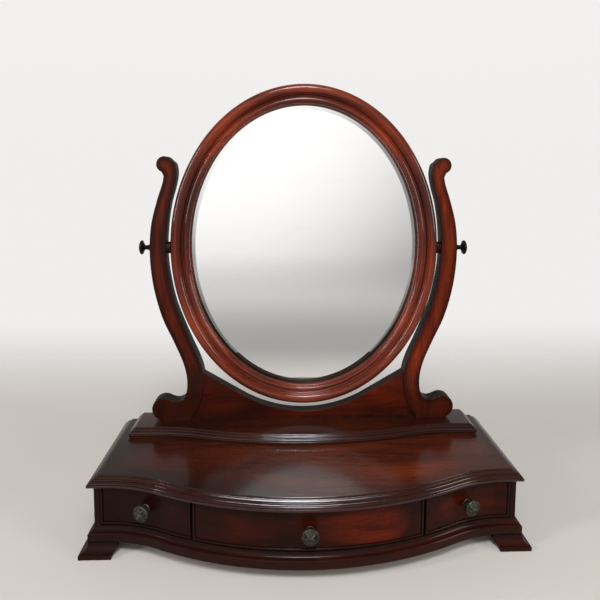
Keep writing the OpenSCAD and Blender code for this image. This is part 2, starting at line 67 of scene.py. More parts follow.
X, Y, Z = 0, 1, 2
SIDES = ((-1, "left"), (1, "right"))
DEPTH = 156.0  # from the front corners to the back
HALF = high("top_board", X)
FRONT_Y = high("top_board", Y) - DEPTH
SWELL = -(low("top_board", Y) - FRONT_Y)  # how far the middle bows out past the corners
MID_R, END = 440.0, HALF - 20.0  # the bow's radius, and where the hollows end
HOLLOW_R = (END * END + SWELL * SWELL) / (2 * SWELL) - MID_R
BASE_Z, CASE_Z = low("front_base_moulding", Z), low("left_side_panel", Z)
TOP_Z, STEP_Z, POST_Z = low("top_board", Z), high("top_board", Z), high("mirror_step", Z)
CASE_IN = 6.5  # the case stands in from the top by this
PIVOT = [c / MM for c in frame["record"]["behaviour"]["joints"][0]["pos_m"]]  # mirror_tilt's
PIVOT[1] -= FRONT_Y


def to_row(p):
    return (p[0] * MM, (p[1] + FRONT_Y) * MM, p[2] * MM)


def smooth(t):
    t = min(1.0, max(0.0, t))
    return t * t * (3 - 2 * t)


# -------- materials

def hexa(code):
    """A colour from its sRGB code, in linear light."""
    parts = [int(code[i:i + 2], 16) / 255 for i in (0, 2, 4)]
    return tuple(c / 12.92 if c <= 0.04045 else ((c + 0.055) / 1.055) ** 2.4 for c in parts) + (1,)


class Nodes:
    """A short way to write the node tree of a new material, or of a new world."""

    def __init__(self, name, group=bpy.data.materials):
        self.owner = group.new(name)
        self.owner.use_nodes = True
        self.tree = self.owner.node_tree
        self.shader = self.tree.nodes.get("Principled BSDF")

    def add(self, kind, values=(), **settings):
        node = self.tree.nodes.new("ShaderNode" + kind)
        for key, value in settings.items():
            setattr(node, key, value)
        for socket, value in dict(values).items():
            self.put(node.inputs[socket], value)
        return node

    def put(self, socket, value):
        if isinstance(value, bpy.types.NodeSocket):
            self.tree.links.new(value, socket)
        else:
            socket.default_value = hexa(value) if isinstance(value, str) else value

    def place(self):
        return self.add("TexCoord").outputs["Object"]

    def tone(self):
        """How dark a vertex is made, from the piece's tone function: stain toning, painted shade,
        or both.
        """
        return self.add("Attribute", attribute_name="tone").outputs["Fac"]

    def point(self):
        """Above 0.5 on an arris, and below it in a crevice."""
        return self.add("NewGeometry").outputs["Pointiness"]

    def noise(self, vector, scale, detail=3.0, rough=0.55, distortion=0.0):
        node = self.add("TexNoise", {"Vector": vector, "Scale": scale, "Detail": detail,
                                     "Roughness": rough, "Distortion": distortion})
        return node.outputs["Fac"]

    def stretch(self, vector, scale):
        return self.add("Mapping", {"Vector": vector, "Scale": scale}).outputs["Vector"]

    def ramp(self, value, lo, hi, to_lo=0.0, to_hi=1.0, kind="LINEAR"):
        node = self.add("MapRange", {"Value": value, "From Min": lo, "From Max": hi,
                                     "To Min": to_lo, "To Max": to_hi},
                        interpolation_type=kind)
        return node.outputs["Result"]

    def ease(self, value, lo, hi, to_lo=0.0, to_hi=1.0):
        return self.ramp(value, lo, hi, to_lo, to_hi, "SMOOTHSTEP")

    def math(self, kind, a, b):
        return self.add("Math", {0: a, 1: b}, operation=kind).outputs["Value"]

    def mix(self, share, a, b):
        node = self.add("Mix", data_type="RGBA")
        self.put(node.inputs[0], share)
        self.put(node.inputs[6], a)
        self.put(node.inputs[7], b)
        return node.outputs[2]

    def bump(self, height, strength, distance):
        return self.add("Bump", {"Height": height, "Strength": strength,
                                 "Distance": distance}).outputs["Normal"]

    def finish(self, **sockets):
        for key, value in sockets.items():
            self.put(self.shader.inputs[key.replace("_", " ")], value)
        return self.owner


def grain_vector(n, axis):
    """Coordinates in metres with the first one along the grain."""
    if axis == "ring":
        return n.add("Attribute", attribute_name="grain").outputs["Vector"]
    if axis == "x":
        return n.place()
    parts = n.add("SeparateXYZ", {"Vector": n.place()}).outputs
    order = {"y": (1, 2, 0), "z": (2, 0, 1)}[axis]
    return n.add("CombineXYZ", {i: parts[k] for i, k in enumerate(order)}).outputs["Vector"]


def mahogany(name, axis, dark="120704", body="270c06", glow="501a0a", glow_share=0.55, coat=0.15,
             rough=(0.32, 0.46), coat_rough=0.08, shine=0.05):
    """Stained mahogany under lacquer: ribbon figure, fibres, pores, worn arrises, and darkening
    from the piece's tone, partly stain toning and partly painted shade, with painted
    shade in crevices. The body and glow colours make the figure, and dark is the colour of the
    toning and the painted shade. The coat is the lacquer."""
    n = Nodes("mahogany_" + name)
    v = grain_vector(n, axis)
    cloud = n.noise(n.stretch(v, (5, 9, 9)), 1, 2, 0.5, 0.4)
    ribbon = n.noise(n.stretch(v, (6, 70, 70)), 1, 4, 0.6, 0.8)
    fibre = n.noise(n.stretch(v, (18, 620, 620)), 1, 3, 0.6)
    pores = n.noise(n.stretch(v, (110, 1900, 1900)), 1, 1, 0.5)
    point = n.point()

    lit = n.math("MULTIPLY", n.ramp(cloud, 0.34, 0.66), n.ramp(ribbon, 0.25, 0.75, 0.45, 1.0))
    colour = n.mix(n.math("MULTIPLY", lit, glow_share), body, glow)
    colour = n.mix(n.ramp(fibre, 0.35, 0.68, 0.0, 0.40), colour, dark)
    colour = n.mix(n.ramp(ribbon, 0.52, 0.30, 0.0, 0.45), colour, dark)
    pore = n.ramp(pores, 0.60, 0.70)
    colour = n.mix(n.math("MULTIPLY", pore, 0.6), colour, "0a0403")
    # stain toning and painted shade, from the piece's tone attribute
    colour = n.mix(n.math("MULTIPLY", n.tone(), 0.88), colour, dark)
    # painted shade: darker in crevices, where the pointiness is low
    colour = n.mix(n.math("MULTIPLY", n.ramp(point, 0.47, 0.40), 0.7), colour, "0c0403")
    worn = n.math("MULTIPLY", n.ramp(point, 0.55, 0.64),
                  n.ramp(n.noise(v, 90, 3), 0.45, 0.65, 0.0, 0.34))
    colour = n.mix(worn, colour, "6b2d17")
    dull = n.noise(v, 26, 4)
    roughness = n.math("ADD", n.ramp(dull, 0.3, 0.7, *rough), n.math("MULTIPLY", pore, 0.12))
    normal = n.bump(n.math("ADD", n.math("MULTIPLY", fibre, 0.5), n.math("MULTIPLY", pore, -0.7)),
                    0.16, 0.0002)
    return n.finish(Base_Color=colour, Roughness=roughness, Normal=normal, IOR=1.45,
                    Specular_IOR_Level=shine, Coat_Weight=coat, Coat_Roughness=coat_rough,
                    Coat_IOR=1.5)


def plain_wood(name, axis, light, dark, rough_lo, rough_hi):
    """Plain unlacquered board: growth rings, fibres and a few darker patches."""
    n = Nodes(name)
    v = grain_vector(n, axis)
    rings = n.noise(n.stretch(v, (3, 55, 55)), 1, 4, 0.6, 1.1)
    fibre = n.noise(n.stretch(v, (22, 700, 700)), 1, 3, 0.6)
    patch = n.noise(n.stretch(v, (7, 16, 16)), 1, 3)
    colour = n.mix(n.ramp(rings, 0.32, 0.68), light, dark)
    colour = n.mix(n.ramp(fibre, 0.4, 0.7, 0, 0.35), colour, dark)
    colour = n.mix(n.ramp(patch, 0.55, 0.75, 0, 0.35), colour, dark)
    # painted shade: darker in crevices, where the pointiness is low
    colour = n.mix(n.ramp(n.point(), 0.48, 0.42, 0, 0.5), colour, "1a100a")
    return n.finish(Base_Color=colour, Roughness=n.ramp(patch, 0.3, 0.7, rough_lo, rough_hi),
                    Normal=n.bump(fibre, 0.25, 0.0003), Specular_IOR_Level=0.35)


def metal(name, base, shade, high_spot, rough_lo, rough_hi, metallic):
    """Patinated metal: dark in its hollows, rubbed bright on its high spots, with fine pitting."""
    n = Nodes(name)
    v, point = n.place(), n.point()
    patina = n.noise(v, 260, 4, 0.6, 0.5)
    fine = n.noise(v, 1700, 2)
    colour = n.mix(n.ramp(patina, 0.35, 0.65), base, shade)
    colour = n.mix(n.ramp(point, 0.49, 0.42, 0, 0.85), colour, shade)
    rubbed = n.math("MULTIPLY", n.ramp(point, 0.52, 0.60), n.ramp(patina, 0.62, 0.40, 0.35, 1.0))
    colour = n.mix(rubbed, colour, high_spot)
    rough = n.math("ADD", n.ramp(patina, 0.3, 0.7, rough_lo, rough_hi),
                   n.math("MULTIPLY", fine, 0.08))
    return n.finish(Base_Color=colour, Metallic=metallic, Roughness=rough,
                    Normal=n.bump(fine, 0.15, 0.0001))


def silvering(name):
    """Silvered glass: nearly perfect, with faint wiping marks. Its tone tints the bevel a darker
    teal, mostly a painted reflection of the dark case below.
    """
    n = Nodes(name)
    wipe = n.noise(n.stretch(n.place(), (14, 14, 30)), 1, 4, 0.5, 1.5)
    # teal on the bevel, darker in its lower half: painted reflection
    colour = n.mix(n.math("MULTIPLY", n.tone(), 0.9), "fafaf9", "64817c")
    colour = n.mix(n.ramp(wipe, 0.55, 0.75, 0, 0.05), colour, "c8cccb")
    return n.finish(Base_Color=colour, Metallic=1.0,
                    Roughness=n.ramp(wipe, 0.45, 0.8, 0.012, 0.035))


WOOD_X = mahogany("x", "x")
WOOD_Y = mahogany("y", "y")
WOOD_Z = mahogany("z", "z", body="64200e", glow="b0421a", coat=0.12)
WOOD_TOP = mahogany("top", "x", body="3e1408", glow="92401b", coat=1.0, coat_rough=0.17)
WOOD_MOULDING = mahogany("moulding", "x", body="33110a", glow="66240f", coat=0.8, coat_rough=0.09)
WOOD_RING = mahogany("ring", "ring", body="44140a", glow="b54418", glow_share=0.85, coat=0.7)
WOOD_PANEL = mahogany("panel", "x", body="340e05", glow="902c0b", glow_share=0.9, coat=0.1)
# side faces of the posts and stretcher: a darker, duller copy of the mahogany, partly stain
# soaking into the sawn edges and partly painted shade on faces turned from the light
WOOD_EDGE_SHADED = mahogany("edge", "x", dark="120806", body="26120c", glow="3a1c12", coat=0.0,
                     rough=(0.50, 0.62), shine=0.15)
BOARD_X, BOARD_Z = (plain_wood("backing_board_" + axis, axis, "5a3a26", "35200f", 0.55, 0.72)
                    for axis in "xz")
BOX_X, BOX_Y = (plain_wood("drawer_wood_" + axis, axis, "c9a980", "a27c52", 0.45, 0.62)
                for axis in "xy")
BRONZE = metal("dark_bronze", "221f1d", "0d0b0a", "4a443d", 0.34, 0.52, 0.85)
PEWTER = metal("antique_pewter", "46433a", "191712", "b5b2a0", 0.38, 0.56, 0.88)
STEEL = metal("zinc_steel", "8e8f92", "5d5e60", "c4c5c8", 0.28, 0.42, 1.0)
MIRROR = silvering("silvered_glass")


# -------- mesh building

def linked(name, data):
    obj = bpy.data.objects.new(name, data)
    bpy.context.scene.collection.objects.link(obj)
    return obj


def piece(name, verts, faces, material, body, nodes, sharp=32.0, tone=None,
          grain=None, edge_material=None, is_edge=lambda normal: abs(normal.y) < 0.45):
    """A closed mesh from plan-coordinate points, riding on a body in place of CAD nodes.
    Edges over sharp degrees stay crisp. Faces that is_edge picks take the edge material."""
    mesh = bpy.data.meshes.new(name)
    mesh.from_pydata([to_row(v) for v in verts], [], faces)
    work = bmesh.new()
    work.from_mesh(mesh)
    bmesh.ops.remove_doubles(work, verts=work.verts, dist=2e-6)
    bmesh.ops.dissolve_degenerate(work, edges=work.edges, dist=1e-7)
    bmesh.ops.recalc_face_normals(work, faces=work.faces)
    for face in work.faces:
        face.smooth = True
    for edge in work.edges:
        if len(edge.link_faces) == 2 and edge.calc_face_angle(0.0) > radians(sharp):
            edge.smooth = False
    work.to_mesh(mesh)
    work.free()
    plan = [(v.co.x / MM, v.co.y / MM - FRONT_Y, v.co.z / MM) for v in mesh.vertices]
    if tone:
        mesh.attributes.new("tone", "FLOAT", "POINT").data.foreach_set(
            "value", [tone(*p) for p in plan])
    if grain:
        flat = [c for p in plan for c in grain(*p)]
        mesh.attributes.new("grain", "FLOAT_VECTOR", "POINT").data.foreach_set("vector", flat)
    mesh.materials.append(material)
    if edge_material:
        mesh.materials.append(edge_material)
        for polygon in mesh.polygons:
            polygon.material_index = 1 if is_edge(polygon.normal) else 0
    obj = linked(name, mesh)
    obj.modifiers.new("weighted normals", "WEIGHTED_NORMAL").keep_sharp = True
    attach(obj, body)
    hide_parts(*nodes)


def bridge(rows, around, along):
    """Quads between rows of points of equal length, as index lists into their concatenation."""
    n, m = len(rows), len(rows[0])
    faces = []
    for j in range(n if along else n - 1):
        for i in range(m if around else m - 1):
            a, b = j * m + i, j * m + (i + 1) % m
            c, d = ((j + 1) % n) * m + (i + 1) % m, ((j + 1) % n) * m + i
            faces.append((a, b, c, d))
    return faces


def capped(rows):
    """The quads between closed rows of points, with a face over the first row and the last."""
    m = len(rows[0])
    return bridge(rows, True, False) + [tuple(reversed(range(m))),
                                        tuple(range(len(rows) * m - m, len(rows) * m))]


def flatten(rows):
    return [p for row in rows for p in row]


def arc(cx, cy, r, a0, a1, n):
    """n + 1 points of an arc, by angles in degrees."""
    turns = [radians(a0 + (a1 - a0) * i / n) for i in range(n + 1)]
    return [(cx + r * cos(a), cy + r * sin(a)) for a in turns]


def rounded(points, r, n):
    """The profile with its inner corners rounded off by r, one number or one for each point."""
    out = [points[0]]
    for k in range(1, len(points) - 1):
        p, a, b = Vector(points[k]), Vector(points[k - 1]), Vector(points[k + 1])
        radius = r[k] if isinstance(r, (list, tuple)) else r
        da, db = (a - p), (b - p)
        cut = min(radius, da.length * 0.45, db.length * 0.45)
        if cut < 1e-4:
            out.append(tuple(p))
            continue
        s, e = p + da.normalized() * cut, p + db.normalized() * cut
        for i in range(n + 1):
            t = i / n
            out.append(tuple(s * (1 - t) ** 2 + p * 2 * t * (1 - t) + e * t * t))
    out.append(points[-1])
    return out


def quarter(p, q, n, bulge):
    """n points on from p to q, on a quarter ellipse that leaves p along bulge, "u" or "v"."""
    out = []
    for i in range(1, n + 1):
        a = pi / 2 * i / n
        s, c = sin(a), 1 - cos(a)
        fu, fv = (s, c) if bulge == "u" else (c, s)
        out.append((p[0] + (q[0] - p[0]) * fu, p[1] + (q[1] - p[1]) * fv))
    return out


# -------- serpentine boards

MID_STEPS, HOLLOW_STEPS, SIDE_STEPS = 72, 26, 8


def serpentine(inset, half, back, out, mid, end, y0=0.0, sides=True):
    """The front's curve from right to left, moved in by inset, with the sides back to y = back.
    mid is the middle bow's radius and out its swell. The hollows beside it run on to x = end.
    The same number of points comes back at any inset: those past the corner gather in it."""
    hollow = (end * end + out * out) / (2 * out) - mid
    turn = degrees(asin(end / (mid + hollow)))
    edge = half - inset
    right = arc(end, -hollow, hollow + inset, 90, 90 + turn, HOLLOW_STEPS)
    corner_y = -hollow + sqrt((hollow + inset) ** 2 - max(0.0, end - edge) ** 2)
    half_curve = [(edge, corner_y)] + [p if p[0] < edge else (edge, corner_y) for p in right[:-1]]
    middle = arc(0, mid - out, mid - inset, 270 + turn, 270 - turn, MID_STEPS)
    curve = half_curve + middle + [(-x, y) for x, y in reversed(half_curve)]
    if sides:
        side = [(edge, back + (corner_y - back) * i / SIDE_STEPS) for i in range(SIDE_STEPS)]
        curve = side + curve + [(-x, y) for x, y in reversed(side)]
    return [(x, y + y0) for x, y in curve]


def case_curve(inset, sides=True):
    return serpentine(inset, HALF, DEPTH, SWELL, MID_R, END, sides=sides)


STEP_FRONT, STEP_BACK, STEP_MID_R = 98.0, 150.0, 600.0
STEP_HALF = high("mirror_step", X)
STEP_END = STEP_HALF - 33.0
STEP_SWELL = STEP_FRONT - (low("mirror_step", Y) - FRONT_Y)


def step_curve(inset):
    return serpentine(inset, STEP_HALF, STEP_BACK - STEP_FRONT, STEP_SWELL, STEP_MID_R, STEP_END,
                      STEP_FRONT)


TONE_RINGS = (8.0, 26.0)  # rings on a board's flat top, so that its toned border can fade
BACK_SHARE = 0.2  # they come forwards less at the back, where there's no moulding


def slab(name, curve, profile, tone, nodes):
    """A board whose moulded edge takes its (inset, z) profile, bottom to top, along the curve."""
    rows = [[(x, y, z) for x, y in curve(inset)] for inset, z in profile]
    m, n = len(rows[0]), len(rows)
    faces = bridge(rows, False, False)
    faces += [(j * m, j * m + m - 1, (j + 1) * m + m - 1, (j + 1) * m) for j in range(n - 1)]
    verts = flatten(rows)
    back = max(y for _, y in curve(0))
    inset, z = profile[-1]
    for ring_in in TONE_RINGS:
        start = len(verts)
        verts += [(x, min(y, back - ring_in * BACK_SHARE), z) for x, y in curve(inset + ring_in)]
        previous = start - m
        faces += [(previous + i, previous + i + 1, start + i + 1, start + i) for i in range(m - 1)]
        faces.append((previous + m - 1, previous, start, start + m - 1))
    faces.append(tuple(range(len(verts) - m, len(verts))))
    faces.append(tuple(reversed(range(m))))
    piece(name, verts, faces, WOOD_TOP, "case", nodes, tone=tone,
          edge_material=WOOD_MOULDING, is_edge=lambda normal: normal.z < 0.98)


def edge_distance(x, y):
    """Roughly how far a plan point on the top board lies in from its moulded edge."""
    ax = abs(x)
    if ax < END * MID_R / (MID_R + HOLLOW_R):
        d = MID_R - hypot(x, y - (MID_R - SWELL))
    else:
        d = hypot(max(0.0, END - ax), y + HOLLOW_R) - HOLLOW_R
    return min(d, HALF - ax)


# (inset, z) up the edges, from their undersides
T, S = TOP_Z, STEP_Z
top_profile = (
    [(0.9, T)]
    + rounded([(0.5, T), (0, T + 0.6), (0, T + 3.0), (0.6, T + 3.6), (1.4, T + 3.7)], 0.5, 3)
    + [(1.5, T + 3.9), (1.0, T + 4.05)] + quarter((1.0, T + 4.05), (4.0, T + 6.3), 9, "v")
    + [(4.5, T + 6.35), (4.55, T + 6.6)] + quarter((4.4, T + 6.7), (8.0, T + 8.7), 9, "v")
    + [(8.5, T + 8.75), (8.6, T + 9.0), (9.0, T + 9.3), (10.2, T + 9.4)]
    + rounded([(10.75, T + 9.45), (10.85, T + 9.7), (11.0, S - 0.35), (11.35, S)], 0.25, 3)
    + [(12.0, S)]
)
step_profile = (
    [(1.5, S), (1.5, S + 1.5), (1.3, S + 1.7), (0.5, S + 1.8)]
    + rounded([(0.3, S + 1.85), (0, S + 2.2), (0, S + 4.3), (0.5, S + 4.8)], 0.4, 3)
    + [(1.1, S + 4.95), (1.1, S + 5.15)] + quarter((0.7, S + 5.2), (3.4, S + 7.9), 9, "v")
    + [(3.8, S + 7.95), (3.85, S + 8.2)] + quarter((3.7, S + 8.3), (6.6, S + 10.4), 8, "v")
    + [(7.0, S + 10.45), (7.1, S + 10.6)]
    + rounded([(7.3, S + 10.7), (7.4, POST_Z - 0.5), (7.9, POST_Z)], 0.3, 3)
    + [(8.6, POST_Z)]
)

MOULDED_TONE = 0.7
MOULDING_W = 11  # the top board's moulding takes up this much of its edge


def top_tone_and_shade(x, y, z):
    """Dark on the moulding and in a border beside it, and darker towards the left: painted shade,
    away from the key light on the right.
    """
    if z < STEP_Z - 0.2:
        return MOULDED_TONE
    # painted shade: darker towards the left, away from the key light
    left = 0.6 * (1 - smooth((x + 110) / 190))
    edge = 0.6 * (1 - smooth((edge_distance(x, y) - MOULDING_W) / TONE_RINGS[1]))
    return min(1.0, left + edge)


def step_tone(x, y, z):
    return 0.6 if z < POST_Z - 0.2 else MOULDED_TONE


slab("top_board_moulded", case_curve, top_profile, top_tone_and_shade, ["top_board"])
slab("step_moulded", step_curve, step_profile, step_tone, ["mirror_step"])


# -------- base moulding

RAIL, RABBET, BOARD = 22.0, 6.0, 6.0
COVE = CASE_IN  # the cove fills the case's set-back
base_section = (
    rounded([(RAIL - 1, BASE_Z), (0.7, BASE_Z), (0.05, BASE_Z + 0.8), (0, BASE_Z + 5.5),
             (0, CASE_Z - COVE - 0.9), (0.7, CASE_Z - COVE)], [0, 0.6, 0.5, 1, 0.9, 0], 4)
    + [(1.2, CASE_Z - COVE + 0.1), (1.25, CASE_Z - COVE + 0.5)]
    + quarter((1.3, CASE_Z - COVE + 0.5), (COVE - 0.1, CASE_Z - 0.4), 9, "u")
    + [(COVE, CASE_Z), (RAIL - RABBET, CASE_Z), (RAIL - RABBET, CASE_Z - BOARD),
       (RAIL, CASE_Z - BOARD), (RAIL, BASE_Z)]
)


def sweep(name, path, section, material, nodes, tone):
    """A moulding: its closed (inset, z) section follows path(inset), with capped ends."""
    rows = [[(x, y, z) for x, y in path(inset)] for inset, z in section]
    m, n = len(rows[0]), len(rows)
    faces = bridge(rows, False, True)
    faces.append(tuple(j * m for j in range(n)))
    faces.append(tuple(j * m + m - 1 for j in reversed(range(n))))
    piece(name, flatten(rows), faces, material, "case", nodes, tone=tone)


def base_tone_and_shade(x, y, z):
    """Painted shade: darker on the cove under the drawers, and darkest at the foot by the floor,
    over an even darkening.
    """
    return 0.45 + 0.4 * smooth((CASE_Z - COVE + 1.5 - z) / -4) + 0.3 * smooth((BASE_Z + 4 - z) / 4)


sweep("front_base_moulded", lambda inset: case_curve(inset, sides=False), base_section, WOOD_X,
      ["front_base_moulding"], base_tone_and_shade)
for side, label in SIDES:
    sweep(label + "_base_moulded",
          lambda inset, side=side: [(side * (HALF - inset), inset + (DEPTH - inset) * i / 8)
                                    for i in range(9)],
          base_section, WOOD_Y, [label + "_base_moulding"], base_tone_and_shade)


# -------- feet

FOOT_L, FLARE = 35.5, 9.0  # the length along the case, and how far the toe stands out
BAND = 5.5  # the upright band at the toe, below the curve
SLANT, END_H = 5.5, 5.0  # the inner end leans back by this, below its upright top
TOE_ROUND, FOOT_STEPS = 0.6, 12


def foot_levels(flare):
    """(z, outer u, inner u) up one face of a foot: u runs inwards from the moulding's face."""
    r = TOE_ROUND
    levels = [(0, -flare + r, r), (0.25, -flare + 0.2, 0.2), (0.8, -flare, 0),
              (BAND - r, -flare, 0), (BAND - 0.2, -flare + 0.15, 0), (BAND + 0.05, -flare + r, 0)]
    for i in range(1, FOOT_STEPS + 1):
        a = radians(90 * i / FOOT_STEPS)
        out = -flare * (1 - sin(a))
        levels.append((BAND + (BASE_Z - BAND) * (1 - cos(a)),
                       max(out, -flare + r) if flare else out, 0))
    shaped = []
    for z, outer, tuck in levels:
        lean = SLANT * min(1.0, max(0.0, (BASE_Z - END_H - z) / (BASE_Z - END_H - BAND + r)))
        shaped.append((z, outer, FOOT_L - lean - tuck))
    return shaped


def rounded_rect(x0, x1, y0, y1, r):
    return (arc(x1 - r, y1 - r, r, 0, 90, 4) + arc(x0 + r, y1 - r, r, 90, 180, 4)
            + arc(x0 + r, y0 + r, r, 180, 270, 4) + arc(x1 - r, y0 + r, r, 270, 360, 4))


def foot_tone_and_shade(x, y, z):
    """Painted shade: dark under the moulding, and again at the floor, over an even darkening."""
    return 0.35 + 0.5 * smooth((z - BAND - 5) / 5) + 0.3 * smooth((1.5 - z) / 1.5)


def foot(end, label, side):
    """A bracket foot. The front ones flare forwards too, and the rear ones only sideways."""
    rear = end == "rear"
    rows = []
    depthwise = foot_levels(0 if rear else FLARE)
    for (z, out_x, in_x), (_, out_y, in_y) in zip(foot_levels(FLARE), depthwise):
        ring = rounded_rect(out_x, in_x, out_y, in_y, 0.7)
        rows.append([(side * (HALF - x), DEPTH - y if rear else y, z) for x, y in ring])
    name = end + "_" + label
    piece(name + "_bracket", flatten(rows), capped(rows), WOOD_X, "case", [name + "_foot"],
          tone=foot_tone_and_shade)


for side, label in SIDES:
    foot("front", label, side)
    foot("rear", label, side)


# -------- posts and stretcher

def spline(points, n):
    """Catmull-Rom through the points, n steps to each span."""
    p = [tuple(2 * a - b for a, b in zip(points[0], points[1]))] + list(points)
    p.append(tuple(2 * a - b for a, b in zip(points[-1], points[-2])))
    out = []
    for i in range(1, len(p) - 2):
        for k in range(n):
            t = k / n
            out.append(tuple(
                0.5 * (2 * p[i][c] + (p[i + 1][c] - p[i - 1][c]) * t
                       + (2 * p[i - 1][c] - 5 * p[i][c] + 4 * p[i + 1][c] - p[i + 2][c]) * t * t
                       + (3 * p[i][c] - p[i - 1][c] - 3 * p[i + 1][c] + p[i + 2][c]) * t ** 3)
                for c in (0, 1)))
    return out + [tuple(points[-1])]


post_outer = [(194.4, 139.5), (187, 136.3), (180, 135.4), (172.5, 138.8), (168, 147), (166.3, 159),
              (167.3, 175), (172.5, 195), (184, 222.5), (200, 259), (211, 303), (215, 348),
              (212.3, 387), (204, 420), (196, 444), (193.8, 455)]
post_inner = [(183, 476.7), (178.2, 472.3), (176.3, 463), (176.8, 453), (180, 438.5), (186, 417),
              (190.6, 388), (192.6, 356), (190.8, 325), (183.2, 284), (172.6, 253), (160, 222),
              (150.4, 200), (145, 184), (142.9, 172), (142.7, 163), (144.2, 150), (149.5, 130),
              (163, POST_Z)]


def thinned(points, gap):
    """The closed outline without points closer than gap to the one before."""
    out = [points[0]]
    for p in points[1:]:
        if dist(p, out[-1]) > gap:
            out.append(p)
    if dist(out[0], out[-1]) < gap:
        out.pop()
    return out


def inwards(points, distance):
    """The closed outline moved in by distance, along the mean of each point's two edge normals."""
    area = sum(a[0] * b[1] - b[0] * a[1] for a, b in zip(points, points[1:] + points[:1]))
    turn = 1 if area > 0 else -1
    out = []
    for i, p in enumerate(points):
        a, b = points[i - 1], points[(i + 1) % len(points)]
        na = Vector((-(p[1] - a[1]), p[0] - a[0])).normalized()
        nb = Vector((-(b[1] - p[1]), b[0] - p[0])).normalized()
        mean = (na + nb).normalized()
        reach = distance / max(0.55, mean.dot(na))
        out.append((p[0] + turn * mean.x * reach, p[1] + turn * mean.y * reach))
    return out


ARRIS_STEPS = 4


def board(name, outline, y0, y1, arris, nodes, wood, tone, rings, crisp):
    """An upright board cut to an outline in x and z, with rounded arrises front and back.
    Its faces have extra rings of points this far in, so that the tone can fade from the edge.
    Where crisp(x, z) is true the outline meets another board, and isn't rounded."""
    def moved(distance):
        return [p if crisp(*p) else q for p, q in zip(outline, inwards(outline, distance))]

    levels = []
    for i in range(ARRIS_STEPS + 1):
        a = radians(90 * i / ARRIS_STEPS)
        levels.append((arris * (1 - sin(a)), arris * (1 - cos(a))))
    rows = [[(x, y0, z) for x, z in moved(arris + r)] for r in reversed(rings)]
    rows += [[(x, y0 + depth, z) for x, z in moved(inset)] for inset, depth in levels]
    rows += [[(x, y1 - depth, z) for x, z in moved(inset)] for inset, depth in reversed(levels)]
    rows += [[(x, y1, z) for x, z in moved(arris + r)] for r in rings]
    piece(name, flatten(rows), capped(rows), wood, "case", nodes, sharp=40, tone=tone,
          edge_material=WOOD_EDGE_SHADED)


POST_Y0, POST_Y1 = low("right_post", Y) - FRONT_Y, high("right_post", Y) - FRONT_Y
STRETCHER_Y0, STRETCHER_Y1 = low("stretcher", Y) - FRONT_Y, high("stretcher", Y) - FRONT_Y
right_outline = thinned(spline(post_outer, 6) + arc(192.5, 471, 11, -68, 145, 30)
                        + spline(post_inner, 6)
                        + arc(200, POST_Z + 16.5, 16.5, -90, 104, 36), 0.6)
inner_curve = spline(post_inner, 12)
POST_FACE, POST_DARK_Z, LEFT_PATCH_Z = 11, 205, 362


def post_tone_and_shade(x, y, z):
    """Lighter along the middle of the face, and dark at the edges and towards the foot.
    The left post is darker all over, painted shade away from the key light on the right, with a
    darker patch a little above the pivot."""
    near = min((abs(x) - p[0]) ** 2 + (z - p[1]) ** 2 for p in right_outline)
    shade = (0.9 * (1 - smooth(sqrt(near) / POST_FACE))
             + 0.75 * smooth((POST_DARK_Z - z) / 70))
    # painted shade: the left post, away from the key light
    if x < 0:
        shade += 0.5 + 0.3 * (1 - smooth(abs(z - LEFT_PATCH_Z) / 45))
    return min(1.0, shade)


for side, label in SIDES:
    board(label + "_post_scrolled", [(side * x, z) for x, z in right_outline], POST_Y0, POST_Y1,
          1.2, [label + "_post"], WOOD_Z, post_tone_and_shade, (3.0, 7.0), lambda x, z: z < POST_Z + 0.01)


def nearest_inner_x(z):
    """Where the right post's inner edge is, at a height in the stretcher's range."""
    return min(inner_curve, key=lambda p: abs(p[1] - z))[0]


# The stretcher's top follows the mirror on an arc of STRETCH_R, lowest at STRETCH_LOW. Past
# STRETCH_ARC either side it runs straight up the arc's tangent to the posts.
STRETCH_R, STRETCH_LOW, STRETCH_ARC = 173.0, 119.0, 88.0
rise = degrees(asin(STRETCH_ARC / STRETCH_R))
arc_end_z = STRETCH_LOW + STRETCH_R * (1 - cos(radians(rise)))
slope = tan(radians(rise))
top_line = arc(0, STRETCH_LOW + STRETCH_R, STRETCH_R, -90 - rise, -90 + rise, 64)
end_x = 142.9  # a first guess, refined to where the tangent meets the post
for _ in range(20):
    end_z = arc_end_z + (end_x - STRETCH_ARC) * slope
    end_x = nearest_inner_x(end_z)
side_heights = [end_z + (POST_Z - end_z) * i / 14 for i in range(15)]
side_line = [(nearest_inner_x(z), z) for z in side_heights]
ramp_line = [(STRETCH_ARC + (end_x - STRETCH_ARC) * i / 8, arc_end_z + (end_z - arc_end_z) * i / 8)
             for i in range(1, 8)]
right_side = ramp_line + side_line
base_line = [(side_line[-1][0] * (1 - 2 * i / 24), POST_Z) for i in range(1, 24)]
stretcher_outline = top_line + right_side + base_line + [(-x, z) for x, z in reversed(right_side)]


def stretcher_tone_and_shade(x, y, z):
    """Painted shade: darker beside the posts and along the step, over an even darkening."""
    ends = smooth((abs(x) - 112) / 26)
    edge = 1 - smooth((z - POST_Z) / 8)
    return min(1.0, 0.45 + 0.25 * ends + 0.4 * edge)


def at_joint(x, z):
    return z < POST_Z + 0.01 or (abs(x) > end_x - 3 and abs(nearest_inner_x(z) - abs(x)) < 0.01)


board("stretcher_curved", stretcher_outline, STRETCHER_Y0, STRETCHER_Y1, 1.0, ["stretcher"],
      WOOD_PANEL, stretcher_tone_and_shade, (3.0,), at_joint)


# -------- mirror

FRAME_A = high("mirror_frame", X)
FRAME_B = high("mirror_frame", Z) - PIVOT[2]
RING_N = 256
RING_DRIFT = 0.05  # keeps the figure from being the same on both sides


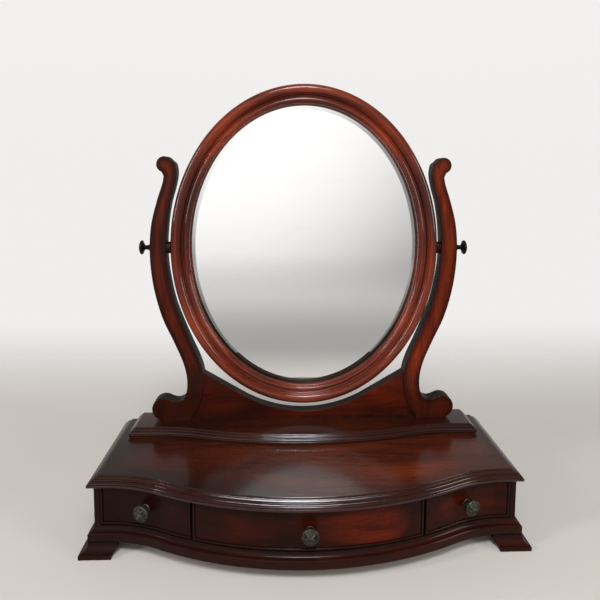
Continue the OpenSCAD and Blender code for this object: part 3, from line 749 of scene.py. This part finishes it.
def oval(inset, y, n=RING_N, start=0.0):
    """n points round an oval, moved in by inset from the frame's outline, y behind the pivot."""
    turns = [2 * pi * (i + start) / n for i in range(n)]
    return [(PIVOT[0] + (FRAME_A - inset) * cos(t), PIVOT[1] + y,
             PIVOT[2] + (FRAME_B - inset) * sin(t)) for t in turns]


falls = [radians(62 * i / 8) for i in range(1, 9)]
# (inset, y) round the frame, from its back outer edge over the front to the rabbet
frame_section = (
    [(0.8, 9.0), (0.25, 8.8), (0, 8.3), (0, -3.2)]
    + quarter((0, -3.2), (7.0, -12.0), 14, "v")
    + [(7.0 + 6.2 * sin(a), -12.0 + 4.4 * (1 - cos(a))) for a in falls]
    + [(12.75, -9.35), (13.05, -8.6), (13.3, -8.35), (13.7, -8.3), (14.05, -8.0)]
    + quarter((14.05, -8.0), (17.25, -4.6), 8, "v") + [(17.5, -4.5), (17.75, -4.7)]
    + [(u, -5.4 + (v + 5.4) * 0.95) for u, v in arc(21.3, -5.4, 3.5, 180, 360, 16)]
    + [(24.95, -4.8), (25.1, -4.5), (25.6, -4.4), (25.95, -4.1), (26, -3.7), (26, 1.38)]
    + [(21.35, 2.25), (21.1, 2.3), (21.1, 4.0), (14, 4.0), (14, 8.6), (13.6, 9.0)]
)


def ring_grain(x, y, z):
    """Grain that runs round the oval from the top down both sides, so it has no seam."""
    a = abs(atan2((x - PIVOT[0]) / FRAME_A, (z - PIVOT[2]) / FRAME_B))
    r = hypot(x - PIVOT[0], z - PIVOT[2])
    return (a * (FRAME_A + FRAME_B) / 2 * MM, (r + RING_DRIFT * x) * MM, y * MM)


def ring_tone(x, y, z):
    """Dark behind, and on the outside of the frame."""
    share = hypot((x - PIVOT[0]) / FRAME_A, (z - PIVOT[2]) / FRAME_B)
    inset = (1 - share) * (FRAME_A + FRAME_B) / 2
    return 0.8 if y - PIVOT[1] > 3.0 else 0.55 * (1 - smooth(inset / 4))


rows = [oval(inset, y) for inset, y in frame_section]
piece("mirror_frame_moulded", flatten(rows), bridge(rows, True, True), WOOD_RING, "mirror",
      ["mirror_frame"], sharp=42, tone=ring_tone, grain=ring_grain)

GLASS_IN, BEVEL, GLASS_T, GLASS_EDGE = 21.3, 12.7, 4.0, 1.6
flat_in = GLASS_IN + BEVEL
glass_section = [(flat_in + 60, 0.0), (flat_in + 0.25, 0.0), (flat_in, 0.0),
                 (flat_in - 0.25, 0.045), (GLASS_IN + 0.4, GLASS_T - GLASS_EDGE - 0.06),
                 (GLASS_IN, GLASS_T - GLASS_EDGE + 0.2), (GLASS_IN, GLASS_T - 0.2),
                 (GLASS_IN + 0.3, GLASS_T), (flat_in + 60, GLASS_T)]
rows = [oval(inset, y) for inset, y in glass_section]


def glass_bevel_tint_and_painted_reflection(x, y, z):
    """The bevel is darker and teal beside the flat glass, most of all in its lower half, where the
    teal is a painted reflection of the dark case below.
    """
    return 0.12 + 0.88 * smooth((PIVOT[2] - 20 - z) / 110) if y > PIVOT[1] + 0.02 else 0.0


piece("mirror_glass_bevelled", flatten(rows), capped(rows), MIRROR, "mirror", ["mirror_glass"],
      sharp=4, tone=glass_bevel_tint_and_painted_reflection)


# -------- turned and fastened hardware

def lathe(profile, around, wave=lambda r, z, angle: 0.0):
    """Rings of points about +Z from (r, z) pairs, each lifted along z by the wave."""
    turns = [2 * pi * i / around for i in range(around)]
    return [[Vector((r * cos(a), r * sin(a), z + wave(r, z, a))) for a in turns]
            for r, z in profile]


def turned(name, rows, places, material, body, nodes, sharp=35):
    """Lathe-turned solids, one for each 4x4 place in plan millimetres."""
    verts, faces = [], []
    for place in places:
        start = len(verts)
        verts += [tuple(place @ p) for row in rows for p in row]
        faces += [tuple(start + i for i in f) for f in capped(rows)]
    piece(name, verts, faces, material, body, nodes, sharp=sharp)


def aimed(origin, direction, spin=0.0):
    """A place whose +Z runs along direction."""
    turn = Vector(direction).to_track_quat("Z", "Y").to_matrix().to_4x4()
    return Matrix.Translation(origin) @ turn @ Matrix.Rotation(radians(spin), 4, "Z")


KNOB_L, KNOB_FACE_Z, DOME_R = 18.0, 13.95, 7.35  # the whole knob, and the dome on its face
KNOB_R = (high("centre_drawer_knob", X) - low("centre_drawer_knob", X)) / 2
FACE_IN = CASE_IN + 1.0
knob_z = (low("centre_drawer_knob", Z) + high("centre_drawer_knob", Z)) / 2
side_x0, side_x1 = low("right_drawer_front", X), high("right_drawer_front", X)
knob_x = (side_x0 + side_x1) / 2
knob_turn = asin((END - knob_x) / (HOLLOW_R + FACE_IN))
knob_y = (HOLLOW_R + FACE_IN) * cos(knob_turn) - HOLLOW_R

knob_profile = (
    [(0.01, 0), (4.6, 0), (5.1, 0.3), (5.1, 0.9), (4.8, 1.25), (4.4, 1.5), (4.2, 2.1), (4.6, 2.9),
     (5.8, 3.9), (7.3, 5.1), (8.4, 6.5), (9.0, 8.0), (9.2, 9.4), (9.2, 10.4)]
    + arc(KNOB_R - 1.5, 12.0, 1.5, -70, 75, 8)
    + [(7.9, 13.6), (7.6, 13.65), (DOME_R, KNOB_FACE_Z)]
    + [(r, KNOB_FACE_Z + 3.5 * (1 - (r / DOME_R) ** 2) ** 0.8)
       for r in (6.9, 6.3, 5.6, 4.9, 4.2, 3.6, 3.1)]
    + [(2.75, 16.45), (2.5, 16.9), (2.0, 17.45), (1.3, 17.8), (0.6, 17.97), (0.01, KNOB_L)]
)


def petals(r, z, a):
    """Cast relief on the knob's face: a ring of petals, and a roped rim."""
    if z > 13.9 and 3.0 < r < 7.3:
        body = sin(pi * (r - 3.0) / 4.3)
        return -0.75 * body * (0.5 - 0.5 * cos(8 * a)) ** 0.7
    if 10.6 < z < 13.55 and r > KNOB_R - 2.2:
        return 0.12 * cos(36 * a)
    return 0.0


knob_places = {
    "centre": aimed((0, FACE_IN - SWELL, knob_z), (0, -1, 0)),
    "right": aimed((knob_x, knob_y, knob_z), (sin(knob_turn), -cos(knob_turn), 0), 8),
    "left": aimed((-knob_x, knob_y, knob_z), (-sin(knob_turn), -cos(knob_turn), 0), 15),
}
knob_rows = lathe(knob_profile, 144, petals)
for label, place in knob_places.items():
    turned(label + "_knob_cast", knob_rows, [place], PEWTER, label + "_drawer",
           [label + "_drawer_knob"], sharp=50)


thumb_out = high("right_thumb_screw", X)
thumb_r = (high("right_thumb_screw", Z) - low("right_thumb_screw", Z)) / 2
post_x = max(p[0] for p in post_outer)
THUMB_TIP, SHANK_R = 177.2, 3.0
thumb_profile = (
    [(0.01, THUMB_TIP), (2.6, THUMB_TIP), (SHANK_R, THUMB_TIP + 0.5)]
    + [(r, post_x + z) for r, z in (
        (SHANK_R, 0.35), (5.0, 0.35), (5.2, 0.6), (5.2, 1.3), (4.8, 1.7), (4.1, 2.4), (3.4, 4.0),
        (3.1, 6.0), (3.15, 7.4), (3.7, 8.5), (4.7, 9.2), (6.4, 9.9), (7.9, 10.6))]
    + arc(thumb_r - 1.7, post_x + 12.6, 1.7, -70, 72, 9)
    + [(r, thumb_out - z) for r, z in (
        (7.6, 1.6), (7.2, 1.65), (6.6, 1.3), (4.6, 0.55), (2.4, 0.12), (0.01, 0))]
)
spacer_in, spacer_out = low("right_spacer", X), high("right_spacer", X)
spacer_r = (high("right_spacer", Z) - low("right_spacer", Z)) / 2
spacer_mid = (spacer_in + spacer_out) / 2
spacer_half = [(3.05, spacer_in), (spacer_r - 0.5, spacer_in), (spacer_r, spacer_in + 0.5),
               (spacer_r, spacer_mid - 0.9), (spacer_r - 0.4, spacer_mid - 0.5)]
spacer_profile = spacer_half + [(r, 2 * spacer_mid - z) for r, z in reversed(spacer_half)]
for side, label in SIDES:
    place = aimed((0, PIVOT[1], PIVOT[2]), (side, 0, 0))
    turned(label + "_thumb_turned", lathe(thumb_profile, 64), [place], BRONZE, label + "_thumb",
           [label + "_thumb_screw"])
    rows = lathe(spacer_profile, 48)
    verts = [tuple(place @ p) for row in rows for p in row]
    piece(label + "_spacer_turned", verts, bridge(rows, True, True), BRONZE, "mirror",
          [label + "_spacer"])


SCREW_HEAD_R, SCREW_SPIN = 2.6, 37  # each screw stops at its own angle


def screws(name, node, r, length, spots, body):
    """Domed slotted screws, each with its tip at z = length and its head below z = 0. The slot is
    pressed into the head's points."""
    head_r = SCREW_HEAD_R
    angles = [radians(a) for a in (12, 24, 36, 48, 60, 70, 80)]
    profile = [(0.01, -0.6 * head_r)]
    profile += [(head_r * sin(a), -0.6 * head_r * cos(a)) for a in angles]
    profile += [(head_r, -0.12), (head_r, 0), (r, 0.02), (r, length - r), (0.01, length)]
    half = 0.16 * head_r

    def slotted(p):
        if p.z > -0.05 or hypot(p.x, p.y) > head_r * 0.93:
            return p
        depth = 0.28 * head_r * (1 - smooth((abs(p.y) - half * 0.7) / (half * 0.6)))
        return Vector((p.x, p.y, max(p.z, -0.55 * head_r + depth)))

    rows = [[slotted(p) for p in row] for row in lathe(profile, 40)]
    places = [aimed(p, (0, -1, 0), SCREW_SPIN * i) for i, p in enumerate(spots)]
    turned(name, rows, places, STEEL, body, [node], sharp=40)


joint_x = (high("centre_drawer_front", X) + side_x0) / 2
back_y = high("back_panel", Y) - FRONT_Y
screws("back_screws_slotted", "back_panel_screws", 1.3, 15.8,
       [(x, back_y, z) for x in (-joint_x, joint_x) for z in (CASE_Z + 11, TOP_Z - 11)], "case")
screws("backing_screws_slotted", "backing_screws", 1.2, 9.8, oval(17.5, 7.0, 10, 0.5), "mirror")


# -------- drawers

DRAWERS = ("left", "centre", "right")
FRONT_LOW, FRONT_HIGH = low("centre_drawer_front", Z), high("centre_drawer_front", Z)
BEAD_IN, BEAD_W, BEAD_T, BEAD_RISE = CASE_IN - 0.5, 3.0, 3.5, 1.1
FRONT_BACK_IN = FACE_IN + 11.0
EASED = (0.0, 0.25, 0.6)  # the face's edge is eased over this width


def front_y_at(x, inset):
    """The front's plan curve, moved in by inset, as y at x."""
    ax = abs(x)
    turn_x = END * (MID_R - inset) / (MID_R + HOLLOW_R)
    if ax < turn_x:
        return (MID_R - SWELL) - sqrt((MID_R - inset) ** 2 - x * x)
    return sqrt((HOLLOW_R + inset) ** 2 - max(0.0, END - ax) ** 2) - HOLLOW_R


def stations(x0, x1):
    n = max(12, int((x1 - x0) / 2.6))
    return [x0 + (x1 - x0) * i / n for i in range(n + 1)]


PAINTED_LIGHT_X, CENTRE_END = 84, 135


def panel_tone_and_shade(x0, x1):
    """Burnished dark towards a drawer front's edges. The centre one is lightest at
    PAINTED_LIGHT_X, a painted pool of light, and darker away from it; the other fronts take that
    painted shade all over.
    """
    def tone(x, y, z):
        ends = min(x - x0, x1 - x)
        rails = min(z - FRONT_LOW, FRONT_HIGH - z)
        side_dark = 1 - smooth((ends - 5) / (0.15 * (x1 - x0)))
        rail_dark = 1 - smooth((rails - 2) / 13)
        # painted light and shade: lit round PAINTED_LIGHT_X on the centre front, darker away from
        # it and over the whole of the other fronts
        away = smooth(abs(x - PAINTED_LIGHT_X) / 80) if x < CENTRE_END else 1.0
        return min(1.0, 0.05 + 0.75 * side_dark + 0.5 * rail_dark + 0.82 * away)
    return tone


def front_panel(label, x0, x1):
    """The curved drawer front, rebated round its face, where the bead sits."""
    left, right = x0 + BEAD_W, x1 - BEAD_W
    bottom, top = FRONT_LOW + BEAD_W, FRONT_HIGH - BEAD_W
    inner_z = [bottom + d for d in EASED]
    inner_z += [bottom + (top - bottom) * i / 10 for i in range(1, 10)]
    inner_z += [top - d for d in reversed(EASED)]
    xs = [left + d for d in EASED] + stations(left + 2.5, right - 2.5)
    xs += [right - d for d in reversed(EASED)]

    def relief(x, z):
        d = min(x - left, right - x, z - bottom, top - z)
        return FACE_IN + 0.55 * (1 - smooth(d / EASED[-1]))

    face_rows = [[(x, front_y_at(x, relief(x, z)), z) for x in xs] for z in inner_z]
    m = len(xs)
    verts = flatten(face_rows)
    faces = bridge(face_rows, False, False)
    # the border of the face, down to the rebate's floor, out to the edge and back to the rear face
    loop = [(i, 0) for i in range(m)] + [(m - 1, j) for j in range(1, len(inner_z))]
    loop += [(i, len(inner_z) - 1) for i in reversed(range(m - 1))]
    loop += [(0, j) for j in reversed(range(1, len(inner_z) - 1))]
    border = [(xs[i], inner_z[j]) for i, j in loop]

    def pushed(x, z):
        x = x0 if x <= left + 0.01 else x1 if x >= right - 0.01 else x
        z = FRONT_LOW if z <= bottom + 0.01 else FRONT_HIGH if z >= top - 0.01 else z
        return x, z

    outer = [pushed(x, z) for x, z in border]
    rings = [[(x, front_y_at(x, BEAD_IN + BEAD_T), z) for x, z in border],
             [(x, front_y_at(x, BEAD_IN + BEAD_T), z) for x, z in outer],
             [(x, front_y_at(x, FRONT_BACK_IN), z) for x, z in outer]]
    start = len(verts)
    verts += flatten(rings)
    k = len(loop)
    first = [j * m + i for i, j in loop]
    faces += [(first[i], first[(i + 1) % k], start + (i + 1) % k, start + i) for i in range(k)]
    faces += [tuple(start + i for i in f) for f in bridge(rings, True, False)]
    back = list(range(start + 2 * k, start + 3 * k))
    # the curved rear face: columns between its lower and its upper edge
    lower = back[:m]
    upper = list(reversed(back[m + len(inner_z) - 2:2 * m + len(inner_z) - 2]))
    upper[-1:] = [back[m + len(inner_z) - 2]]
    faces += [(lower[i], lower[i + 1], upper[i + 1], upper[i]) for i in range(1, m - 2)]
    right_side = back[m - 1:m + len(inner_z) - 1]
    top_left = 2 * m + len(inner_z) - 3
    left_side = [back[0]] + list(reversed(back[top_left + 1:])) + [back[top_left]]
    faces.append(tuple([lower[-2]] + right_side + [upper[-2]]))
    faces.append(tuple([lower[1], upper[1]] + list(reversed(left_side))))
    piece(label + "_front_veneered", verts, faces, WOOD_PANEL, label + "_drawer",
          [label + "_drawer_front"], tone=panel_tone_and_shade(x0, x1), sharp=30)


def bead(label, x0, x1):
    """The cock bead: a rounded strip round the front's edge, standing proud of the face."""
    spring = BEAD_IN + BEAD_RISE
    section = [(0, BEAD_IN + BEAD_T), (0, spring)]
    for i in range(1, 12):
        a = pi * i / 12
        section.append((BEAD_W / 2 * (1 - cos(a)), spring - BEAD_RISE * sin(a)))
    section += [(BEAD_W, spring), (BEAD_W, BEAD_IN + BEAD_T)]
    xs = stations(x0, x1)[1:-1]
    rows = []
    for u, inset in section:
        zl, zh = FRONT_LOW + u, FRONT_HIGH - u
        xl, xh = x0 + u, x1 - u
        held = [min(max(x, xl), xh) for x in xs]
        row = [(x, zl) for x in [xl] + held + [xh]]
        row += [(xh, zl + (zh - zl) * i / 6) for i in range(1, 6)]
        row += [(x, zh) for x in [xh] + held[::-1] + [xl]]
        row += [(xl, zh + (zl - zh) * i / 6) for i in range(1, 6)]
        rows.append([(x, front_y_at(x, inset), z) for x, z in row])
    piece(label + "_bead_rounded", flatten(rows), bridge(rows, True, True), WOOD_X,
          label + "_drawer", [label + "_drawer_bead"], sharp=38, tone=lambda x, y, z: 0.8)


for label in DRAWERS:
    x0, x1 = low(label + "_drawer_front", X), high(label + "_drawer_front", X)
    front_panel(label, x0, x1)
    bead(label, x0, x1)


# -------- boards kept from the CAD

def dress(node, material, arris):
    """A CAD solid as it is, with its material, and softened arrises unless arris is 0."""
    obj = frame["nodes"][node]
    obj.data.materials.clear()
    obj.data.materials.append(material)
    if arris:
        edge = obj.modifiers.new("arris", "BEVEL")
        edge.width, edge.segments, edge.limit_method = arris * MM, 2, "ANGLE"
        edge.angle_limit = radians(50)
        obj.modifiers.new("weighted normals", "WEIGHTED_NORMAL")


SIDE_T = 7.0
UNDER_TOP_Z = 68


def side_panel(label, side):
    """A plain upright panel with softened corners, darker at its front edge, and darker under the
    top: painted shade from the top board's overhang.
    """
    outer, inner = HALF - CASE_IN, HALF - CASE_IN - SIDE_T
    y0, y1 = (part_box(label + "_side_panel")[i].y / MM - FRONT_Y for i in (0, 1))
    ring = rounded_rect(inner, outer, y0, y1, 0.8)
    levels = [CASE_Z + (TOP_Z - CASE_Z) * i / 8 for i in range(9)]
    rows = [[(side * x, y, z) for x, y in ring] for z in levels]

    def tone(x, y, z):
        # painted shade under the top board, and a darker front edge
        return 0.9 if y < y0 + 2 else 0.3 + 0.5 * smooth((z - UNDER_TOP_Z) / 16)

    piece(label + "_side_softened", flatten(rows), capped(rows), WOOD_Y, "case",
          [label + "_side_panel"], tone=tone)


for side, label in SIDES:
    side_panel(label, side)
for name in ("left_partition", "right_partition"):
    dress(name, WOOD_Y, 0.3)
dress("rear_base_rail", WOOD_X, 0.4)
dress("back_panel", BOARD_X, 0.4)
dress("bottom_board", BOARD_X, 0.3)
dress("mirror_backing", BOARD_Z, 0.4)
for label in DRAWERS:
    sides = ("left_side", "right_side") if label == "centre" else ("outer_side", "inner_side")
    for part in sides:
        dress(label + "_drawer_" + part, BOX_Y, 0.5)
    dress(label + "_drawer_back", BOX_X, 0.5)
    dress(label + "_drawer_bottom", BOX_X, 0.2)
    dress(label + "_knob_screw", STEEL, 0.15)
for name in ("post_screws", "step_screws", "bottom_board_screws", "foot_screws",
             "left_pivot_insert", "right_pivot_insert"):
    dress(name, STEEL, 0)


# -------- floor, light and camera

FLOOR_R, FLOOR_N = 3.0, 96
# Painted shade on the floor: darker bands in front, out of the camera's view, so that the foot of
# what the glass reflects is dim: y from, y to, colour.
FLOOR_PAINTED_SHADE_BANDS = ((-0.22, -0.55, "918f8b"), (-0.6, -1.2, "b4b2ae"))
# Where it fades out into the backdrop, by the distance from the object and by depth.
FADE_AWAY, FADE_DEPTH = (0.45, 2.3), (0.15, 1.0)


def floor():
    """A pale disc that fades out into the backdrop, so there is no horizon."""
    mesh = bpy.data.meshes.new("floor")
    turns = [2 * pi * i / FLOOR_N for i in range(FLOOR_N)]
    mesh.from_pydata([(FLOOR_R * cos(t), FLOOR_R * sin(t), 0) for t in turns], [],
                     [tuple(range(FLOOR_N))])
    n = Nodes("floor_paper")
    v = n.place()
    colour = n.mix(n.noise(v, 3, 3), "c5bfb6", "cec8bf")
    depth = n.add("SeparateXYZ", {0: v}).outputs["Y"]
    # painted shade: darker floor bands in front, which the glass reflects
    for near, far, code in FLOOR_PAINTED_SHADE_BANDS:
        colour = n.mix(n.ease(depth, near, far), colour, code)
    n.finish(Base_Color=colour, Roughness=0.8, Specular_IOR_Level=0.15)
    away = n.add("VectorMath", {0: v}, operation="LENGTH").outputs["Value"]
    fade = n.math("MAXIMUM", n.ease(away, *FADE_AWAY), n.ease(depth, *FADE_DEPTH))
    clear = n.add("BsdfTransparent")
    blend = n.add("MixShader", {0: fade, 1: n.shader.outputs["BSDF"],
                                2: clear.outputs["BSDF"]})
    n.put(n.tree.nodes["Material Output"].inputs["Surface"], blend.outputs["Shader"])
    mesh.materials.append(n.owner)
    obj = linked("floor", mesh)


def soft_light(name, place, width, height, radiance, colour):
    """A rectangular softbox aimed at the object. Its power is set from the brightness it shows."""
    data = bpy.data.lights.new(name, "AREA")
    data.shape, data.size, data.size_y = "RECTANGLE", width, height
    data.energy, data.color = radiance * pi * width * height, colour
    obj = linked(name, data)
    obj.location = place
    obj.rotation_euler = (Vector(AIM) - Vector(place)).to_track_quat("-Z", "Y").to_euler()


# The surroundings: a direction, the cosines between which its light fades in, and its strength.
BEHIND = ((0, 1, 0.1), -0.45, 0.35, 0.88)
# a pale patch in front that the glass shows, a dimmer one round it, and a little from above
OTHERS = (((-0.14, -0.97, 0.24), 0.80, 0.99, 0.85), ((0, -1, 0.15), 0.45, 0.95, 0.30),
          ((0, 0, 1), 0.0, 1.0, 0.10))
AMBIENT = 0.07
# The light from behind dims above this height, so that the top board doesn't turn milky.
DIM_FROM, DIM_TO, DIM_SHARE = 0.31, 0.45, 0.12


def studio():
    """Soft surroundings: bright behind, and dim above and in front but for the pale patch."""
    n = Nodes("studio", bpy.data.worlds)
    bpy.context.scene.world = n.owner
    way = n.add("TexCoord").outputs["Generated"]

    def lobe(towards, lo, hi, amount):
        along = n.add("VectorMath", {0: way, 1: Vector(towards).normalized()},
                      operation="DOT_PRODUCT").outputs["Value"]
        return n.ease(along, lo, hi, 0.0, amount)

    height = n.add("SeparateXYZ", {0: way}).outputs["Z"]
    total = n.math("MULTIPLY", lobe(*BEHIND), n.ease(height, DIM_FROM, DIM_TO, 1.0, DIM_SHARE))
    for other in OTHERS:
        total = n.math("ADD", total, lobe(*other))
    background = n.tree.nodes["Background"]
    n.put(background.inputs["Color"], "f6f4f3")
    n.put(background.inputs["Strength"], n.math("ADD", total, AMBIENT))


floor()
studio()
AIM = (0, 0.03, 0.2)
DAYLIGHT = (0.87, 0.92, 1.0)
soft_light("key", (1.75, -0.85, 0.72), 0.7, 0.9, 8.0, (1.0, 0.93, 0.88))
soft_light("side_strip", (-1.70, -0.70, 0.88), 0.24, 1.0, 22.0, (1.0, 0.93, 0.93))
soft_light("window", (0.0, -1.35, 2.00), 0.48, 0.55, 26.0, DAYLIGHT)
soft_light("window_edges", (0.0, -1.37, 2.03), 0.95, 0.50, 12.0, DAYLIGHT)

camera_data = bpy.data.cameras.new("camera")
camera_data.lens, camera_data.sensor_width = 31.117, 36.0
camera_data.shift_y = -0.12574
camera_data.clip_start, camera_data.clip_end = 0.02, 50
camera = linked("camera", camera_data)
CAMERA_AT = (-0.03165, -0.63937, 0.4568)
YAW, PITCH, ROLL = 1.973, 5.422, 0.2475
camera.matrix_world = (Matrix.Translation(CAMERA_AT)
                       @ Matrix.Rotation(radians(-YAW), 4, "Z")
                       @ Matrix.Rotation(radians(90 - PITCH), 4, "X")
                       @ Matrix.Rotation(radians(ROLL), 4, "Z"))
bpy.context.scene.camera = camera
bpy.context.scene.view_settings.view_transform = "Standard"
